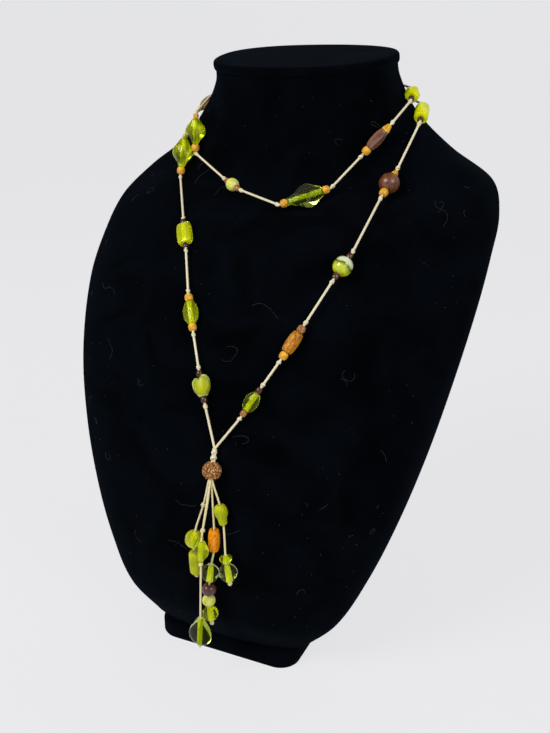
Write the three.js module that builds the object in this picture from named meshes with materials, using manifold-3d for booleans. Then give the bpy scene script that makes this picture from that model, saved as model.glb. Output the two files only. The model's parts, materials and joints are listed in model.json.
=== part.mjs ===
// Beaded necklace on a velvet neck bust.
//
// Millimetres, +Z up, -Y is the front of the bust. The origin is the centre of the plinth's underside.
// The necklace is one closed string laid twice round the neck, with a four-strand tassel below its knot.

import * as THREE from 'three';
import { mergeVertices } from 'three/addons/utils/BufferGeometryUtils.js';
import Module from 'manifold-3d';

const wasm = await Module();
wasm.setup();

// Driving dimensions of the stand
const plinthWidth = 80;
const plinthDepth = 129;
const plinthHeight = 10;
const plinthCorner = 14;
const plinthEdge = 1.5;
const bodyHeight = 290;
const shoulderHalf = 109;
const chestDepth = 50;
const backDepth = 40;
const leanStart = -53.5;
const leanReach = 109.5;
const neckTilt = 9.1;
const tiltFrom = 0.85;
const sectionPower = 2.3;
const capThickness = 5.5;
const capEdge = 1.6;
const seamGap = 0.3;
// Edge of the neck cap, from its seam up: at is a share of its thickness, out a share of capEdge
const capRows = [
  { at: 0, out: -0.4 }, { at: 0.2, out: 0.35 }, { at: 0.5, out: 0.6 }, { at: 0.8, out: 0.3 },
  { at: 1, out: -0.8 },
];

// Driving dimensions of the string
const cordRadius = 0.6;
const knotRadius = 1.3;
const knotLength = 2.2;
const boreGap = 0.4;
const seatGap = 0.4;
const touchGap = 0.3;
const freeStep = 7;
const crossingLift = 1.8;
const stemRadius = 1.05;
const tasselRadius = 0.5;

// A spacer bead on the string: half its length and the radius of its ends, as shares of its diameter
const spacerShape = { face: 0.42, mouth: 0.3 };

// Wrapped knot between the closed string and the pendant bead: at is a share of the way down,
// radius a share of wrapRadius
const wrapRadius = 1.5;
const wrapRows = [
  { at: -0.12, radius: 0.75 }, { at: 0.1, radius: 0.95 }, { at: 0.45, radius: 0.8 },
  { at: 0.62, radius: 1.0 }, { at: 0.85, radius: 1.0 }, { at: 1.0, radius: 0.72 },
];

// Bound head of the tassel, partly inside the pendant bead: at is a share of its length, radius of
// headRadius
const headRadius = 1.7;
const headLength = 3.0;
const headRows = [
  { at: 0, radius: 0.8 }, { at: 0.3, radius: 1.0 }, { at: 1.0, radius: 1.0 }, { at: 1.36, radius: 0.7 },
];

// A tassel knot: half its length, its whole reach and how far under a bead it sits, as shares of its
// radius
const tasselKnot = 1.15;
const tasselKnotShape = { half: 0.55, reach: 1.15, drop: 1.2 };

// Mesh fineness
const bustColumns = 36;
const bustRings = 32;
const cordSides = 8;
const beadSides = 12;
const neckwardCrowding = 0.35;
const relaxRounds = 60;
const settleRounds = 4;
const plumbStep = 2;
const surfaceNudge = { share: 0.004, turn: 1 };

// Sections of the bust. height is a share of bodyHeight above the plinth, half of shoulderHalf,
// lean of leanReach behind leanStart, front of chestDepth and back of backDepth.
const bustTable = [
  { height: 0.00, half: 0.415, lean: 0.000, front: 0.24, back: 1.00 },
  { height: 0.06, half: 0.565, lean: 0.016, front: 0.48, back: 0.85 },
  { height: 0.14, half: 0.675, lean: 0.073, front: 0.69, back: 0.75 },
  { height: 0.24, half: 0.775, lean: 0.142, front: 0.86, back: 0.70 },
  { height: 0.36, half: 0.868, lean: 0.228, front: 0.97, back: 0.675 },
  { height: 0.48, half: 0.938, lean: 0.332, front: 1.00, back: 0.70 },
  { height: 0.60, half: 0.988, lean: 0.491, front: 0.96, back: 0.75 },
  { height: 0.68, half: 1.000, lean: 0.658, front: 0.915, back: 0.79 },
  { height: 0.74, half: 0.990, lean: 0.822, front: 0.868, back: 0.74 },
  { height: 0.79, half: 0.913, lean: 0.990, front: 0.818, back: 0.58 },
  { height: 0.84, half: 0.714, lean: 0.982, front: 0.772, back: 0.68 },
  { height: 0.90, half: 0.545, lean: 0.920, front: 0.772, back: 0.82 },
  { height: 0.96, half: 0.451, lean: 0.908, front: 0.806, back: 0.815 },
  { height: 1.00, half: 0.442, lean: 0.886, front: 0.806, back: 0.740 },
];

// Bead forms, from the end where the cord enters to the end where it leaves. at is a share of half
// the length, wide and thick are shares of half the width and thickness, and lobe raises two humps
// beside the cord, by a share of half the length.
const forms = {
  round: {
    power: 2, twist: 0,
    rows: [
      { at: -1.0, wide: 0.34, thick: 0.34 }, { at: -0.84, wide: 0.62, thick: 0.62 },
      { at: -0.48, wide: 0.90, thick: 0.90 }, { at: 0.0, wide: 1.0, thick: 1.0 },
      { at: 0.48, wide: 0.90, thick: 0.90 }, { at: 0.84, wide: 0.62, thick: 0.62 },
      { at: 1.0, wide: 0.34, thick: 0.34 },
    ],
  },
  tube: {
    power: 2, twist: 0,
    rows: [
      { at: -1.0, wide: 0.66, thick: 0.66 }, { at: -0.86, wide: 0.94, thick: 0.94 },
      { at: -0.4, wide: 1.0, thick: 1.0 }, { at: 0.4, wide: 1.0, thick: 1.0 },
      { at: 0.86, wide: 0.94, thick: 0.94 }, { at: 1.0, wide: 0.66, thick: 0.66 },
    ],
  },
  cask: {
    power: 2, twist: 0,
    rows: [
      { at: -1.0, wide: 0.60, thick: 0.60 }, { at: -0.86, wide: 0.80, thick: 0.80 },
      { at: -0.36, wide: 1.0, thick: 1.0 }, { at: 0.36, wide: 1.0, thick: 1.0 },
      { at: 0.86, wide: 0.80, thick: 0.80 }, { at: 1.0, wide: 0.60, thick: 0.60 },
    ],
  },
  barrel: {
    power: 2, twist: 0,
    rows: [
      { at: -1.0, wide: 0.66, thick: 0.66 }, { at: -0.7, wide: 0.88, thick: 0.88 },
      { at: -0.26, wide: 1.0, thick: 1.0 }, { at: 0.26, wide: 1.0, thick: 1.0 },
      { at: 0.7, wide: 0.88, thick: 0.88 }, { at: 1.0, wide: 0.66, thick: 0.66 },
    ],
  },
  lozenge: {
    power: 1.35, twist: 40,
    rows: [
      { at: -1.0, wide: 0.30, thick: 0.46 }, { at: -0.7, wide: 0.56, thick: 0.74 },
      { at: -0.3, wide: 0.90, thick: 0.96 }, { at: 0.0, wide: 1.0, thick: 1.0 },
      { at: 0.3, wide: 0.90, thick: 0.96 }, { at: 0.7, wide: 0.56, thick: 0.74 },
      { at: 1.0, wide: 0.30, thick: 0.46 },
    ],
  },
  oval: {
    power: 2.2, twist: 0,
    rows: [
      { at: -1.0, wide: 0.36, thick: 0.60 }, { at: -0.82, wide: 0.66, thick: 0.78 },
      { at: -0.42, wide: 0.92, thick: 0.96 }, { at: 0.0, wide: 1.0, thick: 1.0 },
      { at: 0.42, wide: 0.92, thick: 0.96 }, { at: 0.82, wide: 0.66, thick: 0.78 },
      { at: 1.0, wide: 0.36, thick: 0.60 },
    ],
  },
  pillow: {
    power: 3.8, twist: 0,
    rows: [
      { at: -1.0, wide: 0.74, thick: 0.62 }, { at: -0.8, wide: 0.95, thick: 0.84 },
      { at: -0.3, wide: 1.0, thick: 1.0 }, { at: 0.3, wide: 1.0, thick: 1.0 },
      { at: 0.8, wide: 0.95, thick: 0.84 }, { at: 1.0, wide: 0.74, thick: 0.62 },
    ],
  },
  cube: {
    power: 3.0, twist: 34,
    rows: [
      { at: -1.0, wide: 0.60, thick: 0.60 }, { at: -0.74, wide: 0.88, thick: 0.88 },
      { at: 0.0, wide: 1.0, thick: 1.0 },
      { at: 0.74, wide: 0.88, thick: 0.88 }, { at: 1.0, wide: 0.60, thick: 0.60 },
    ],
  },
  heart: {
    power: 2.1, twist: 0,
    rows: [
      { at: -1.0, wide: 0.36, thick: 0.60 }, { at: -0.7, wide: 0.64, thick: 0.84 },
      { at: -0.2, wide: 0.92, thick: 1.0 }, { at: 0.25, wide: 1.0, thick: 1.0, lobe: 0.10 },
      { at: 0.6, wide: 0.97, thick: 0.92, lobe: 0.22 }, { at: 0.8, wide: 0.70, thick: 0.66, lobe: 0.34 },
    ],
  },
  drop: {
    power: 2, twist: 12,
    rows: [
      { at: -1.0, wide: 0.24, thick: 0.36 }, { at: -0.7, wide: 0.46, thick: 0.60 },
      { at: -0.2, wide: 0.82, thick: 0.90 }, { at: 0.2, wide: 0.98, thick: 1.0 },
      { at: 0.56, wide: 0.98, thick: 0.94 }, { at: 0.86, wide: 0.70, thick: 0.68 },
      { at: 1.0, wide: 0.34, thick: 0.40 },
    ],
  },
  pear: {
    power: 2, twist: 0,
    rows: [
      { at: -1.0, wide: 0.42, thick: 0.42 }, { at: -0.74, wide: 0.86, thick: 0.86 },
      { at: -0.3, wide: 1.0, thick: 1.0 }, { at: 0.15, wide: 0.88, thick: 0.88 },
      { at: 0.64, wide: 0.70, thick: 0.70 }, { at: 1.0, wide: 0.42, thick: 0.42 },
    ],
  },
};

// Looks of the beads, one entry for each slot
const looks = {
  olive_glass: { color: 0x9aa832, roughness: 0.12 },
  clear_glass: { color: 0xa9bf5a, roughness: 0.08 },
  milky_glass: { color: 0xcdd68c, roughness: 0.3 },
  dark_wood: { color: 0x4a261c, roughness: 0.35 },
  red_wood: { color: 0x7a3420, roughness: 0.3 },
  orange_wood: { color: 0xc8782e, roughness: 0.55 },
  sandy_wood: { color: 0xa86c38, roughness: 0.85 },
};

// Beads on the closed string, in the string's order from the knot up the left side. long, wide and
// thick are their sizes, share and turn their place on the bust, heading the way the cord runs there
// (0 is up, 90 towards +X), roll its turn about the cord, before and after the diameters of the spacer
// beads at each end.
const loopBeads = [
  { name: 'bead_heart', form: 'heart', slot: 'olive_glass', long: 9.4, wide: 9.2, thick: 5.5,
    share: 0.484, turn: 268.5, heading: -22, before: 3.4, after: 3.4 },
  { name: 'bead_oval_left', form: 'oval', slot: 'olive_glass', long: 11.8, wide: 8, thick: 4.8,
    share: 0.5871, turn: 262.1, heading: -25, before: 4.4, after: 4.4 },
  { name: 'bead_pillow', form: 'pillow', slot: 'olive_glass', long: 13, wide: 7.8, thick: 5.2,
    share: 0.694, turn: 252.7, heading: -31, before: 3.4, after: 3.4 },
  { name: 'bead_lozenge_outer', form: 'lozenge', slot: 'olive_glass', long: 15.3, wide: 12, thick: 7,
    share: 0.8169, turn: 229.5, heading: -6, roll: 36, before: 4.6, after: 3.0 },
  { name: 'bead_barrel_back', form: 'barrel', slot: 'dark_wood', long: 12, wide: 6.5, thick: 6.5,
    share: 0.902, turn: 177, heading: -62, before: 3.0, after: 3.0,
    via: [{ share: 0.908, turn: 150 }, { share: 0.911, turn: 120 }, { share: 0.914, turn: 90 },
      { share: 0.917, turn: 60 }, { share: 0.92, turn: 30 }] },
  { name: 'bead_pebble', form: 'cube', slot: 'olive_glass', long: 7.2, wide: 7.2, thick: 6.8,
    share: 0.9255, turn: 1, heading: -109, before: 3.4, after: 3.4 },
  { name: 'bead_barrel', form: 'barrel', slot: 'dark_wood', long: 10.8, wide: 5.9, thick: 5.9,
    share: 0.8656, turn: 310.6, heading: -138, before: 4.4, after: 4.6 },
  { name: 'bead_lozenge_front', form: 'lozenge', slot: 'olive_glass', long: 18, wide: 14, thick: 8,
    share: 0.7563, turn: 277.9, heading: -124, roll: -18, before: 4.4, after: 4.4 },
  { name: 'bead_green_round', form: 'round', slot: 'milky_glass', long: 6.6, wide: 6.8, thick: 6.8,
    share: 0.7667, turn: 259.3, heading: -60, before: 3.4, after: 3.4 },
  { name: 'bead_lozenge_inner', form: 'lozenge', slot: 'olive_glass', long: 13.2, wide: 11.5, thick: 7,
    share: 0.8646, turn: 224, heading: 5, roll: 40, before: 4.6, after: 3.2,
    via: [{ share: 0.93, turn: 196 }, { share: 0.934, turn: 170 }, { share: 0.926, turn: 140 },
      { share: 0.92, turn: 115, lift: 1 }, { share: 0.914, turn: 90, lift: 1 },
      { share: 0.905, turn: 60, lift: 1 }, { share: 0.898, turn: 30 }] },
  { name: 'bead_ridged', form: 'tube', slot: 'olive_glass', long: 12.5, wide: 7.4, thick: 7.4,
    share: 0.894, turn: 355.9, heading: -114, before: 3.4, after: 3.6 },
  { name: 'bead_red_round', form: 'round', slot: 'red_wood', long: 9.6, wide: 10.2, thick: 10.2,
    share: 0.7784, turn: 300.8, heading: -162, before: 4.2, after: 4.6 },
  { name: 'bead_swirl', form: 'round', slot: 'milky_glass', long: 9, wide: 9.4, thick: 9.4,
    share: 0.6669, turn: 294.2, heading: -156, before: 3.4, after: 3.4 },
  { name: 'bead_wood_tube', form: 'cask', slot: 'orange_wood', long: 10.6, wide: 6, thick: 6,
    share: 0.5633, turn: 286.7, heading: -154, before: 4.2, after: 4.4 },
  { name: 'bead_oval_right', form: 'oval', slot: 'olive_glass', long: 9.8, wide: 7.2, thick: 4.6,
    share: 0.4734, turn: 279.7, heading: -152, before: 3.4, after: 3.4 },
];

// The knot that closes the string, and the cork-coloured bead hung under it
const knotPlace = { x: 5.8, z: 124.4 };
const pendantBead = { name: 'bead_pendant', form: 'round', slot: 'sandy_wood', long: 8.2, wide: 9.2,
  thick: 9.2, bore: headRadius, x: 6.8, z: 115.3 };

// The four strands of the tassel, from the top down. A row with a name is a bead and one without
// is a knot; x and z are its place, over sets it in front of the strands behind, and a knotted
// bead has a knot right below it.
const tasselStrands = [
  [
    { x: 1.3, z: 95.8 },
    { name: 'bead_drop_round', form: 'round', slot: 'clear_glass', long: 8.6, wide: 9, thick: 9,
      x: -1.8, z: 78.6 },
    { name: 'bead_drop_tube', form: 'tube', slot: 'olive_glass', long: 12.4, wide: 6.6, thick: 6.6,
      x: -1.9, z: 65.0, knotted: true },
  ],
  [
    { x: 3.5, z: 85.0, over: 4.4 },
    { name: 'bead_drop_diamond', form: 'lozenge', slot: 'clear_glass', long: 11, wide: 8.4, thick: 5,
      x: 4.7, z: 76.2, over: 6.8, knotted: true },
    { name: 'bead_drop_large', form: 'drop', slot: 'clear_glass', long: 15, wide: 12.4, thick: 8,
      x: 2.2, z: 29.6, over: 4.4 },
  ],
  [
    { name: 'bead_drop_orange', form: 'cask', slot: 'orange_wood', long: 11.5, wide: 5.7, thick: 5.7,
      x: 8.2, z: 79.6 },
    { name: 'bead_drop_clear', form: 'round', slot: 'clear_glass', long: 8.6, wide: 9, thick: 9,
      x: 6.7, z: 61.9 },
    { name: 'bead_drop_purple', form: 'round', slot: 'dark_wood', long: 6.4, wide: 7.2, thick: 7.2,
      x: 5.2, z: 51.6 },
    { name: 'bead_drop_milky', form: 'round', slot: 'milky_glass', long: 5.6, wide: 6.6, thick: 6.6,
      x: 4.7, z: 44.9 },
    { name: 'bead_drop_ribbed', form: 'round', slot: 'clear_glass', long: 7.2, wide: 7.8, thick: 7.8,
      x: 5.8, z: 37.9, knotted: true },
  ],
  [
    { name: 'bead_drop_pear', form: 'pear', slot: 'olive_glass', long: 10.3, wide: 6.4, thick: 6.4,
      x: 12.2, z: 94.0 },
    { name: 'bead_drop_disc', form: 'round', slot: 'clear_glass', long: 4.0, wide: 6.3, thick: 6.3,
      x: 15.3, z: 71.8, over: 1.4 },
    { name: 'bead_drop_ball', form: 'round', slot: 'clear_glass', long: 8.8, wide: 9.2, thick: 9.2,
      x: 16.4, z: 64.5, knotted: true },
  ],
];

const degree = Math.PI / 180;

// Smooth curve through a table's column, read at a height share
function column(share, key) {
  const last = bustTable.length - 1;
  let i = 0;
  while (i < last - 1 && bustTable[i + 1].height < share) i += 1;
  const [a, b] = [bustTable[i], bustTable[i + 1]];
  const before = bustTable[Math.max(i - 1, 0)];
  const after = bustTable[Math.min(i + 2, last)];
  const span = b.height - a.height;
  const slopeA = (b[key] - before[key]) / (b.height - before.height);
  const slopeB = (after[key] - a[key]) / (after.height - a.height);
  const t = (share - a.height) / span;
  return a[key] * (1 + 2 * t) * (1 - t) ** 2 + slopeA * span * t * (1 - t) ** 2
    + b[key] * (3 - 2 * t) * t ** 2 + slopeB * span * (t - 1) * t ** 2;
}

// Half width, centre line and depths of the bust at a height share
function bustSection(share) {
  return {
    half: shoulderHalf * column(share, 'half'),
    centre: leanStart + leanReach * column(share, 'lean'),
    front: chestDepth * column(share, 'front'),
    back: backDepth * column(share, 'back'),
    slope: Math.tan(neckTilt * degree) * THREE.MathUtils.clamp((share - tiltFrom) / (1 - tiltFrom), 0, 1),
  };
}

function superCos(angle, power) {
  return Math.sign(Math.cos(angle)) * Math.abs(Math.cos(angle)) ** (2 / power);
}

function superSin(angle, power) {
  return Math.sign(Math.sin(angle)) * Math.abs(Math.sin(angle)) ** (2 / power);
}

// Point of the bust at a height share and a turn round it; 270 is the front, 0 the +X side
function bustPoint(share, turn, outset = 0) {
  const s = bustSection(share);
  const side = superSin(turn * degree, sectionPower);
  const x = (s.half + outset) * superCos(turn * degree, sectionPower);
  const dy = side * ((side < 0 ? s.front : s.back) + outset);
  return new THREE.Vector3(x, s.centre + dy, plinthHeight + share * bodyHeight + s.slope * dy);
}

// Share of the bust's height at which a point lies, with the neck's tilt taken off
function shareAt(point) {
  let share = (point.z - plinthHeight) / bodyHeight;
  for (let i = 0; i < settleRounds; i += 1) {
    const s = bustSection(THREE.MathUtils.clamp(share, 0, 1));
    share = (point.z - s.slope * (point.y - s.centre) - plinthHeight) / bodyHeight;
  }
  return THREE.MathUtils.clamp(share, 0, 1);
}

// Below 0 inside the bust, above 0 outside, in units of the section's size
function level(point) {
  const s = bustSection(shareAt(point));
  const dy = point.y - s.centre;
  const across = Math.abs(point.x) / s.half;
  const deep = Math.abs(dy) / (dy < 0 ? s.front : s.back);
  return (across ** sectionPower + deep ** sectionPower) ** (1 / sectionPower) - 1;
}

// Distance of a point from the bust's surface, and the way out of it
function clearance(point) {
  const probe = 0.4;
  const here = level(point);
  const normal = new THREE.Vector3();
  for (const axis of ['x', 'y', 'z']) {
    const ahead = point.clone();
    ahead[axis] += probe;
    normal[axis] = (level(ahead) - here) / probe;
  }
  const steep = normal.length();
  return { gap: here / steep, normal: normal.divideScalar(steep) };
}

// Closed surface through rings of points. Rings follow one another outward-facing when their points
// run anticlockwise seen from the last ring. A looped surface joins its last ring to its first.
function ringSurface(rings, looped) {
  const columns = rings[0].length;
  const positions = rings.flat().flatMap((p) => [p.x, p.y, p.z]);
  const index = [];
  const joins = looped ? rings.length : rings.length - 1;
  for (let i = 0; i < joins; i += 1) {
    const low = i * columns;
    const high = ((i + 1) % rings.length) * columns;
    for (let j = 0; j < columns; j += 1) {
      const k = (j + 1) % columns;
      index.push(low + j, low + k, high + k, low + j, high + k, high + j);
    }
  }
  if (!looped) {
    for (const [ring, first] of [[0, true], [rings.length - 1, false]]) {
      const middle = rings[ring].reduce((sum, p) => sum.add(p), new THREE.Vector3()).divideScalar(columns);
      const centre = positions.length / 3;
      positions.push(middle.x, middle.y, middle.z);
      for (let j = 0; j < columns; j += 1) {
        const k = (j + 1) % columns;
        const [a, b] = first ? [k, j] : [j, k];
        index.push(ring * columns + a, ring * columns + b, centre);
      }
    }
  }
  const geometry = new THREE.BufferGeometry();
  geometry.setAttribute('position', new THREE.Float32BufferAttribute(positions, 3));
  geometry.setIndex(index);
  geometry.computeVertexNormals();
  return geometry;
}

function toSolid(geometry) {
  const bare = geometry.clone();
  bare.deleteAttribute('normal');
  bare.deleteAttribute('uv');
  const merged = mergeVertices(bare, 1e-4);
  return new wasm.Manifold(new wasm.Mesh({
    numProp: 3,
    vertProperties: new Float32Array(merged.attributes.position.array),
    triVerts: new Uint32Array(merged.index.array),
  }));
}

function joined(geometries) {
  const solid = geometries.map(toSolid).reduce((sum, next) => sum.add(next));
  const mesh = solid.getMesh();
  const geometry = new THREE.BufferGeometry();
  geometry.setAttribute('position', new THREE.Float32BufferAttribute(mesh.vertProperties, 3));
  geometry.setIndex(Array.from(mesh.triVerts));
  geometry.computeVertexNormals();
  return geometry;
}

const group = new THREE.Group();

function addMesh(name, geometry, look) {
  const material = new THREE.MeshStandardMaterial({ metalness: 0, ...look });
  const mesh = new THREE.Mesh(geometry, material);
  mesh.name = name;
  group.add(mesh);
  return mesh;
}

// Stand

function bustRing(share, outset = 0) {
  return Array.from({ length: bustColumns }, (_, j) => bustPoint(share, (360 * j) / bustColumns, outset));
}

function bustBody() {
  const bottom = seamGap / bodyHeight;
  const top = 1 - (capThickness + seamGap) / bodyHeight;
  const rings = [];
  for (let i = 0; i <= bustRings; i += 1) {
    // Rings stand closer towards the neck, where the form turns inwards
    const t = i / bustRings;
    rings.push(bustRing(bottom + (top - bottom) * (t + neckwardCrowding * t * (1 - t))));
  }
  return ringSurface(rings, false);
}

function neckCap() {
  const low = 1 - capThickness / bodyHeight;
  const rise = capThickness / bodyHeight;
  return ringSurface(capRows.map((row) => bustRing(low + rise * row.at, capEdge * row.out)), false);
}

function plinth() {
  const half = plinthWidth / 2 - plinthEdge;
  const deep = plinthDepth / 2 - plinthEdge;
  const r = plinthCorner - plinthEdge;
  const outline = new THREE.Shape();
  outline.absarc(half - r, deep - r, r, 0, Math.PI / 2);
  outline.absarc(r - half, deep - r, r, Math.PI / 2, Math.PI);
  outline.absarc(r - half, r - deep, r, Math.PI, 1.5 * Math.PI);
  outline.absarc(half - r, r - deep, r, 1.5 * Math.PI, 2 * Math.PI);
  const geometry = new THREE.ExtrudeGeometry(outline, {
    depth: plinthHeight - 2 * plinthEdge,
    bevelThickness: plinthEdge,
    bevelSize: plinthEdge,
    bevelSegments: 1,
    curveSegments: 4,
  });
  geometry.translate(0, 0, plinthEdge);
  return geometry;
}

// Beads

// A bead about its own middle: z along the cord, x across it and y through its thickness
function beadGeometry(bead) {
  const form = forms[bead.form];
  const bore = cordBore(bead);
  const ring = (row, radius) => Array.from({ length: beadSides }, (_, j) => {
    const angle = (2 * Math.PI * j) / beadSides;
    const half = bead.long / 2;
    if (radius) return new THREE.Vector3(radius * Math.cos(angle), radius * Math.sin(angle), row.at * half);
    const x = (Math.max(row.wide * bead.wide / 2, bore + boreGap)) * superCos(angle, form.power);
    const y = (Math.max(row.thick * bead.thick / 2, bore + boreGap)) * superSin(angle, form.power);
    const turned = new THREE.Vector2(x, y).rotateAround(new THREE.Vector2(), form.twist * degree * row.at);
    const hump = (row.lobe ?? 0) * half * Math.sin(Math.PI * Math.min(1, Math.abs(2 * x / bead.wide)));
    return new THREE.Vector3(turned.x, turned.y, row.at * half + hump);
  });
  const outer = form.rows.map((row) => ring(row));
  const inner = [form.rows.at(-1), form.rows[0]].map((row) => ring(row, bore));
  return ringSurface([...outer, ...inner], true);
}

function cordBore(bead) {
  return (bead.bore ?? cordRadius) + boreGap;
}

// Axes of a bead: along the cord, out of the surface and across
function beadAxes(along, outward) {
  const z = along.clone().normalize();
  const y = outward.clone().addScaledVector(z, -outward.dot(z)).normalize();
  const x = new THREE.Vector3().crossVectors(y, z);
  return new THREE.Matrix4().makeBasis(x, y, z);
}

function placeBead(bead, centre, along, outward) {
  const mesh = addMesh(bead.name, beadGeometry(bead), looks[bead.slot]);
  mesh.position.copy(centre);
  mesh.quaternion.setFromRotationMatrix(beadAxes(along, outward));
}

// Swelling of the string past one end of a bead, where its spacer bead sits
function spacerRows(spacer) {
  const middle = touchGap + spacer / 2;
  const face = spacerShape.face * spacer;
  const mouth = spacerShape.mouth * spacer;
  return [
    { at: touchGap / 2, radius: cordRadius },
    { at: middle - face, radius: mouth },
    { at: middle, radius: spacer / 2 },
    { at: middle + face, radius: mouth },
    { at: touchGap + spacer, radius: cordRadius },
  ];
}

// A bead and its spacers lie straight on the bust, lifted until nothing of them sinks in
function seatBead(bead) {
  const base = bustPoint(bead.share, bead.turn);
  const up = bustPoint(bead.share + surfaceNudge.share, bead.turn).sub(base).normalize();
  const round = bustPoint(bead.share, bead.turn + surfaceNudge.turn).sub(base).normalize();
  const outward = new THREE.Vector3().crossVectors(round, up).normalize();
  const rise = new THREE.Vector3().crossVectors(outward, round);
  const along = rise.multiplyScalar(Math.cos(bead.heading * degree))
    .addScaledVector(round, Math.sin(bead.heading * degree));
  const facing = outward.clone().applyAxisAngle(along, (bead.roll ?? 0) * degree);
  const turned = beadAxes(along, facing);
  const corners = [];
  const outline = beadGeometry(bead).attributes.position;
  for (let i = 0; i < outline.count; i += 1) {
    corners.push({ p: new THREE.Vector3().fromBufferAttribute(outline, i).applyMatrix4(turned), r: 0 });
  }
  const string = [];
  for (const [side, spacer] of [[-1, bead.before], [1, bead.after]]) {
    for (const row of spacerRows(spacer)) {
      const offset = side * (bead.long / 2 + row.at);
      string.push({ offset, radius: row.radius });
      corners.push({ p: along.clone().multiplyScalar(offset), r: row.radius });
    }
  }
  string.sort((a, b) => a.offset - b.offset);
  let lift = bead.thick / 2;
  for (let i = 0; i < settleRounds; i += 1) {
    const centre = base.clone().addScaledVector(outward, lift);
    const least = Math.min(...corners.map((c) => clearance(c.p.clone().add(centre)).gap - c.r));
    lift += seatGap - least;
  }
  const centre = base.clone().addScaledVector(outward, lift);
  const samples = string.map((row) => ({
    point: centre.clone().addScaledVector(along, row.offset), radius: row.radius,
  }));
  return { bead, centre, along, facing, samples };
}

// A stretch of bare cord pulled tight over the bust between two points
function tautStretch(start, via, end) {
  const stand = cordRadius + seatGap;
  const stops = [
    { point: start, lift: 0 },
    ...via.map((stop) => ({
      point: bustPoint(stop.share, stop.turn, stand), lift: (stop.lift ?? 0) * crossingLift,
    })),
    { point: end, lift: 0 },
  ];
  const path = [];
  for (let i = 0; i + 1 < stops.length; i += 1) {
    const [a, b] = [stops[i], stops[i + 1]];
    const count = Math.max(1, Math.round(a.point.distanceTo(b.point) / freeStep));
    for (let k = 0; k < count; k += 1) {
      const t = k / count;
      path.push({ point: a.point.clone().lerp(b.point, t), stand: stand + a.lift + (b.lift - a.lift) * t });
    }
  }
  path.push({ point: end.clone(), stand });
  for (let round = 0; round < relaxRounds; round += 1) {
    for (let i = 1; i < path.length - 1; i += 1) {
      const here = path[i].point;
      here.addVectors(path[i - 1].point, path[i + 1].point).multiplyScalar(0.5);
      const { gap, normal } = clearance(here);
      if (gap < path[i].stand) here.addScaledVector(normal, path[i].stand - gap);
    }
  }
  return path.map((stop) => stop.point);
}

// A tight stretch with a knot at each end that meets a spacer
function knottedStretch(start, via, end, knots) {
  const path = new THREE.CatmullRomCurve3(tautStretch(start, via, end), false, 'centripetal');
  const total = path.getLength();
  const samples = [];
  const add = (arc, radius) => samples.push({ point: path.getPointAt(arc / total), radius });
  const free = [knots.start ? knotLength : freeStep / 2, total - (knots.end ? knotLength : freeStep / 2)];
  if (knots.start) add(knotLength / 2, knotRadius);
  const count = Math.max(1, Math.round((free[1] - free[0]) / freeStep));
  for (let k = 0; k <= count; k += 1) add(free[0] + ((free[1] - free[0]) * k) / count, cordRadius);
  if (knots.end) add(total - knotLength / 2, knotRadius);
  return samples;
}

// A round body of changing radius along a line of samples
function sweep(samples) {
  // Any way the line doesn't run; it is turned square to the line at each ring
  const side = new THREE.Vector3(0.3, 0.2, 1);
  const rings = samples.map(({ point, radius }, i) => {
    const before = samples[Math.max(i - 1, 0)].point;
    const after = samples[Math.min(i + 1, samples.length - 1)].point;
    const along = after.clone().sub(before).normalize();
    side.addScaledVector(along, -side.dot(along)).normalize();
    const other = new THREE.Vector3().crossVectors(along, side);
    return Array.from({ length: cordSides }, (_, j) => {
      const angle = (2 * Math.PI * j) / cordSides;
      return point.clone()
        .addScaledVector(side, radius * Math.cos(angle))
        .addScaledVector(other, radius * Math.sin(angle));
    });
  });
  return ringSurface(rings, false);
}

// Foremost y of the chest at or above a place, where a hanging thing touches it
function plumbFront(x, z) {
  let front = Infinity;
  for (let height = z; height <= knotPlace.z; height += plumbStep) {
    const s = bustSection((height - plinthHeight) / bodyHeight);
    const deep = (1 - (Math.abs(x) / s.half) ** sectionPower) ** (1 / sectionPower);
    front = Math.min(front, s.centre - s.front * deep);
  }
  return front;
}

function hangingPoint(row, stand) {
  return new THREE.Vector3(row.x, plumbFront(row.x, row.z) - stand - seatGap - (row.over ?? 0), row.z);
}

const frontward = new THREE.Vector3(0, -1, 0);

// The closed string, from its knot round and back to it, with the stem below the knot

const knotTop = hangingPoint(knotPlace, wrapRadius);
const pendantCentre = hangingPoint(pendantBead, pendantBead.thick / 2);
const pendantAlong = pendantCentre.clone().sub(knotTop).normalize();
const wrapEnd = pendantCentre.clone().addScaledVector(pendantAlong, -(pendantBead.long / 2 + touchGap));
const headStart = pendantCentre.clone().addScaledVector(pendantAlong, pendantBead.long / 2 - headLength);
const headEnd = headStart.clone().addScaledVector(pendantAlong, headLength + touchGap);

const seated = loopBeads.map(seatBead);
const loopSamples = [{ point: knotTop, radius: cordRadius }];
seated.forEach((seat, i) => {
  const from = loopSamples.at(-1).point;
  const via = i > 0 ? seated[i - 1].bead.via ?? [] : [];
  const knots = { start: i > 0, end: true };
  loopSamples.push(...knottedStretch(from, via, seat.samples[0].point, knots), ...seat.samples);
  placeBead(seat.bead, seat.centre, seat.along, seat.facing);
});
loopSamples.push(
  ...knottedStretch(loopSamples.at(-1).point, [], knotTop, { start: true, end: false }),
  { point: knotTop, radius: cordRadius },
);

const stem = [
  ...wrapRows.map((row) => ({
    point: knotTop.clone().lerp(wrapEnd, row.at), radius: wrapRadius * row.radius,
  })),
  { point: wrapEnd.clone().addScaledVector(pendantAlong, touchGap), radius: stemRadius },
  { point: headStart.clone().addScaledVector(pendantAlong, -touchGap), radius: stemRadius },
];
addMesh('loop_cord', joined([sweep(loopSamples), sweep(stem)]), { color: 0xd8c9a0, roughness: 0.8 });

// The pendant bead and the tassel

placeBead(pendantBead, pendantCentre, pendantAlong, frontward);

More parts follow.
